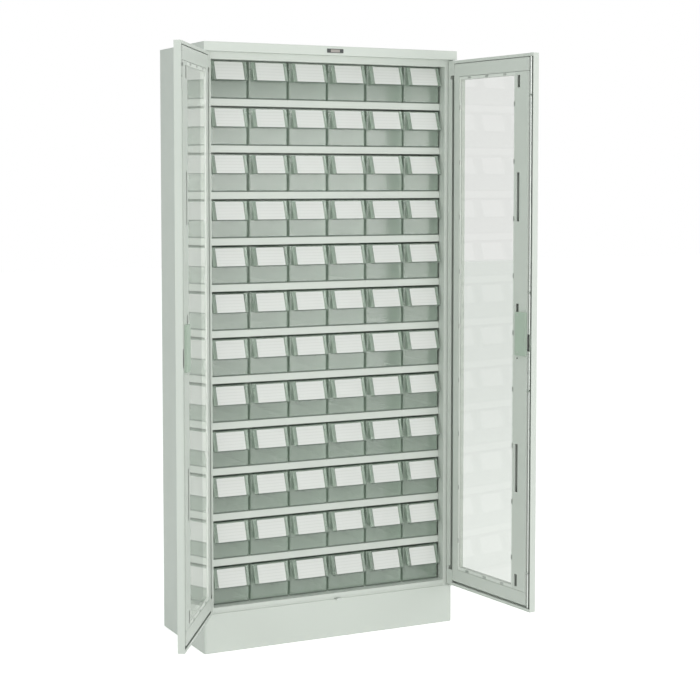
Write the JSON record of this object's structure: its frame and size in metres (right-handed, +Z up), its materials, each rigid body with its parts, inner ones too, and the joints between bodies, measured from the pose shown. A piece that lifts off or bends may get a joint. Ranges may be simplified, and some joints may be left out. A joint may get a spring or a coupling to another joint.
{
  "type": "parts bin cabinet",
  "caption": "Tall steel cabinet with two glazed doors, and tiers of sliding clear bins with label hoods on shelves.",
  "frame": {"origin": "on the floor, at the centre of the cabinet body's footprint (doors left out)", "axes": "+Z up, the doors' side faces -Y, +X to the right of a person who faces the cabinet"},
  "size_m": [1.1133, 0.7715, 1.8],
  "materials": {
    "painted_steel": "pale grey-green powder coat, satin",
    "zinc": "zinc plated",
    "handle_metal": "satin chrome",
    "dark_metal": "dark satin",
    "cover_plastic": "grey-green moulded plastic, satin",
    "plate": "dark gloss, blank",
    "clear_pane": "clear sheet, polished",
    "clear_bin": "translucent moulded plastic"
  },
  "bodies": {
    "cabinet": {"side_panel_left": "painted_steel", "side_panel_right": "painted_steel", "back_panel": "painted_steel", "top_panel": "painted_steel", "header": "painted_steel", "floor_pan": "painted_steel", "floor_support": "painted_steel", "plinth_front": "painted_steel", "plinth_back": "painted_steel", "shelves": "painted_steel", "shelf_runners": "painted_steel", "nameplate": "plate", "hinge_brackets": "painted_steel", "hinge_pins": "zinc", "rod_keeper": "dark_metal"},
    "left_door": {"left_door_skin": "painted_steel", "left_door_frame": "painted_steel", "left_door_channel": "painted_steel", "left_pane": "clear_pane", "left_pane_retainer": "painted_steel", "left_pane_clips": "zinc", "left_lock_cover": "cover_plastic", "left_hinge_blocks": "painted_steel", "left_bolt_guides": "zinc"},
    "left_bolt": {"left_bolt": "zinc"},
    "right_door": {"right_door_skin": "painted_steel", "right_door_frame": "painted_steel", "right_door_channel": "painted_steel", "right_pane": "clear_pane", "right_pane_retainer": "painted_steel", "right_pane_clips": "zinc", "right_lock_cover": "cover_plastic", "right_handle_plate": "handle_metal", "right_hinge_blocks": "painted_steel", "rod_guides": "zinc"},
    "handle": {"handle_lever": "handle_metal", "lock_cam": "dark_metal"},
    "key": {"key_cylinder": "zinc"},
    "upper_rod": {"upper_lock_rod": "zinc"},
    "lower_rod": {"lower_lock_rod": "zinc"},
    "tier_01": {"bins_tier_01": "clear_bin"},
    "tier_02": {"bins_tier_02": "clear_bin"},
    "tier_03": {"bins_tier_03": "clear_bin"},
    "tier_04": {"bins_tier_04": "clear_bin"},
    "tier_05": {"bins_tier_05": "clear_bin"},
    "tier_06": {"bins_tier_06": "clear_bin"},
    "tier_08": {"bins_tier_08": "clear_bin"},
    "tier_09": {"bins_tier_09": "clear_bin"},
    "tier_10": {"bins_tier_10": "clear_bin"},
    "tier_11": {"bins_tier_11": "clear_bin"},
    "tier_12": {"bins_tier_12": "clear_bin"},
    "bin_07_1": {"bin_07_1": "clear_bin"},
    "bin_07_2": {"bin_07_2": "clear_bin"},
    "bin_07_3": {"bin_07_3": "clear_bin"},
    "bin_07_4": {"bin_07_4": "clear_bin"},
    "bin_07_5": {"bin_07_5": "clear_bin"},
    "bin_07_6": {"bin_07_6": "clear_bin"}
  },
  "joints": [
    {"name": "door_left_hinge", "type": "hinge", "parent": "cabinet", "child": "left_door", "pos_m": [-0.412, -0.187, 0.9], "axis": [0, 0, -1], "range_deg": [-122, 3]},
    {"name": "door_right_hinge", "type": "hinge", "parent": "cabinet", "child": "right_door", "pos_m": [0.412, -0.187, 0.9], "axis": [0, 0, 1], "range_deg": [-96, 29]},
    {"name": "handle_turn", "type": "hinge", "parent": "right_door", "child": "handle", "pos_m": [0.45717, -0.54021, 0.948], "axis": [0.9945, 0.1045, 0], "range_deg": [0, 90]},
    {"name": "key_turn", "type": "hinge", "parent": "right_door", "child": "key", "pos_m": [0.45717, -0.54021, 0.984], "axis": [0.9945, 0.1045, 0], "range_deg": [0, 90]},
    {"name": "left_bolt_slide", "type": "slide", "parent": "left_door", "child": "left_bolt", "axis": [0, 0, 1], "range_m": [0, 0.012]},
    {"name": "lock_rod_lower", "type": "slide", "parent": "right_door", "child": "lower_rod", "axis": [0, 0, -1], "range_m": [0, 0.012]},
    {"name": "lock_rod_upper", "type": "slide", "parent": "right_door", "child": "upper_rod", "axis": [0, 0, 1], "range_m": [0, 0.012]},
    {"name": "slide_bin_1", "type": "slide", "parent": "cabinet", "child": "bin_07_1", "axis": [0, -1, 0], "range_m": [0, 0.2]},
    {"name": "slide_bin_2", "type": "slide", "parent": "cabinet", "child": "bin_07_2", "axis": [0, -1, 0], "range_m": [0, 0.2]},
    {"name": "slide_bin_3", "type": "slide", "parent": "cabinet", "child": "bin_07_3", "axis": [0, -1, 0], "range_m": [0, 0.2]},
    {"name": "slide_bin_4", "type": "slide", "parent": "cabinet", "child": "bin_07_4", "axis": [0, -1, 0], "range_m": [0, 0.2]},
    {"name": "slide_bin_5", "type": "slide", "parent": "cabinet", "child": "bin_07_5", "axis": [0, -1, 0], "range_m": [0, 0.2]},
    {"name": "slide_bin_6", "type": "slide", "parent": "cabinet", "child": "bin_07_6", "axis": [0, -1, 0], "range_m": [0, 0.2]},
    {"name": "slide_tier_01", "type": "slide", "parent": "cabinet", "child": "tier_01", "axis": [0, -1, 0], "range_m": [0, 0.2]},
    {"name": "slide_tier_02", "type": "slide", "parent": "cabinet", "child": "tier_02", "axis": [0, -1, 0], "range_m": [0, 0.2]},
    {"name": "slide_tier_03", "type": "slide", "parent": "cabinet", "child": "tier_03", "axis": [0, -1, 0], "range_m": [0, 0.2]},
    {"name": "slide_tier_04", "type": "slide", "parent": "cabinet", "child": "tier_04", "axis": [0, -1, 0], "range_m": [0, 0.2]},
    {"name": "slide_tier_05", "type": "slide", "parent": "cabinet", "child": "tier_05", "axis": [0, -1, 0], "range_m": [0, 0.2]},
    {"name": "slide_tier_06", "type": "slide", "parent": "cabinet", "child": "tier_06", "axis": [0, -1, 0], "range_m": [0, 0.2]},
    {"name": "slide_tier_08", "type": "slide", "parent": "cabinet", "child": "tier_08", "axis": [0, -1, 0], "range_m": [0, 0.2]},
    {"name": "slide_tier_09", "type": "slide", "parent": "cabinet", "child": "tier_09", "axis": [0, -1, 0], "range_m": [0, 0.2]},
    {"name": "slide_tier_10", "type": "slide", "parent": "cabinet", "child": "tier_10", "axis": [0, -1, 0], "range_m": [0, 0.2]},
    {"name": "slide_tier_11", "type": "slide", "parent": "cabinet", "child": "tier_11", "axis": [0, -1, 0], "range_m": [0, 0.2]},
    {"name": "slide_tier_12", "type": "slide", "parent": "cabinet", "child": "tier_12", "axis": [0, -1, 0], "range_m": [0, 0.2]}
  ],
  "couplings": [
    {"joint": "lock_rod_lower", "follows": "handle_turn", "m_per_rad": 0.007638},
    {"joint": "lock_rod_upper", "follows": "handle_turn", "m_per_rad": 0.007638}
  ]
}
